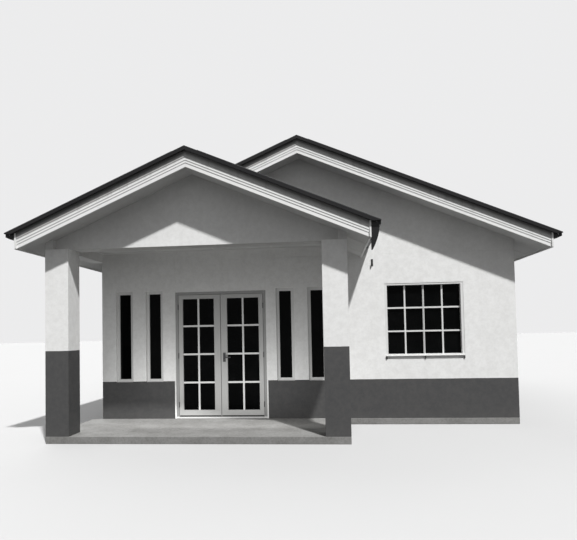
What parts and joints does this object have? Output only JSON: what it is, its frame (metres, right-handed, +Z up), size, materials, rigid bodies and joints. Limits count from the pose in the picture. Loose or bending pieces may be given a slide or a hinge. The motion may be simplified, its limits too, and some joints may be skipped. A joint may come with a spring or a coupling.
{
  "type": "bungalow",
  "caption": "Single-storey house with a gabled metal roof, a gabled porch on square columns, glazed double doors and narrow windows beside them.",
  "frame": {"origin": "middle of the main house's plan, at ground level, on the underside of its floor slab", "axes": "+X to the right seen from the front, +Y from the front wall towards the rear, +Z up"},
  "size_m": [7.9, 10.646, 4.6076],
  "materials": {
    "concrete": "trowelled concrete",
    "render": "painted render on brick, dark painted band at the foot",
    "board": "white gloss paint",
    "timber": "sawn",
    "roof_metal": "dark coated sheet",
    "door_paint": "light paint",
    "frame_paint": "light coating",
    "window_glass": "clear",
    "steel": "satin"
  },
  "bodies": {
    "house": {"house_slab": "concrete", "porch_slab": "concrete", "front_wall_left": "render", "front_wall_right": "render", "front_wall_over_door": "render", "front_gable_wall": "render", "left_wall": "render", "right_wall": "render", "rear_wall": "render", "porch_column_left": "render", "porch_column_right": "render", "porch_gable_wall": "render", "porch_side_beams": "render", "porch_ceiling": "board", "house_ceiling": "board", "main_rafters": "timber", "porch_rafters": "timber", "main_roof_sheet_left": "roof_metal", "main_roof_sheet_right": "roof_metal", "porch_roof_sheet_left": "roof_metal", "porch_roof_sheet_right": "roof_metal", "ridge_caps": "roof_metal", "verge_flashings": "roof_metal", "gutters": "roof_metal", "front_barge_boards": "board", "rear_barge_boards": "board", "porch_barge_boards": "board", "eave_fascias": "board", "eave_soffits": "board", "verge_soffits": "board", "door_frame": "door_paint", "frame_hinges": "steel", "sidelight_frames": "frame_paint", "sidelight_glass": "window_glass", "front_window_frame": "frame_paint", "front_window_glass": "window_glass", "other_window_frames": "frame_paint", "other_window_glass": "window_glass"},
    "left_door": {"door_leaf_left": "door_paint", "door_glass_left": "window_glass", "leaf_hinges_left": "steel"},
    "right_door": {"door_leaf_right": "door_paint", "door_glass_right": "window_glass", "door_handle": "steel", "leaf_hinges_right": "steel"}
  },
  "joints": [
    {"name": "left_door_hinge", "type": "hinge", "parent": "house", "child": "left_door", "pos_m": [-2.0575, -4.192, 1.1], "axis": [0, 0, -1], "range_deg": [0, 90]},
    {"name": "right_door_hinge", "type": "hinge", "parent": "house", "child": "right_door", "pos_m": [-0.6325, -4.192, 1.1], "axis": [0, 0, 1], "range_deg": [0, 90]}
  ]
}
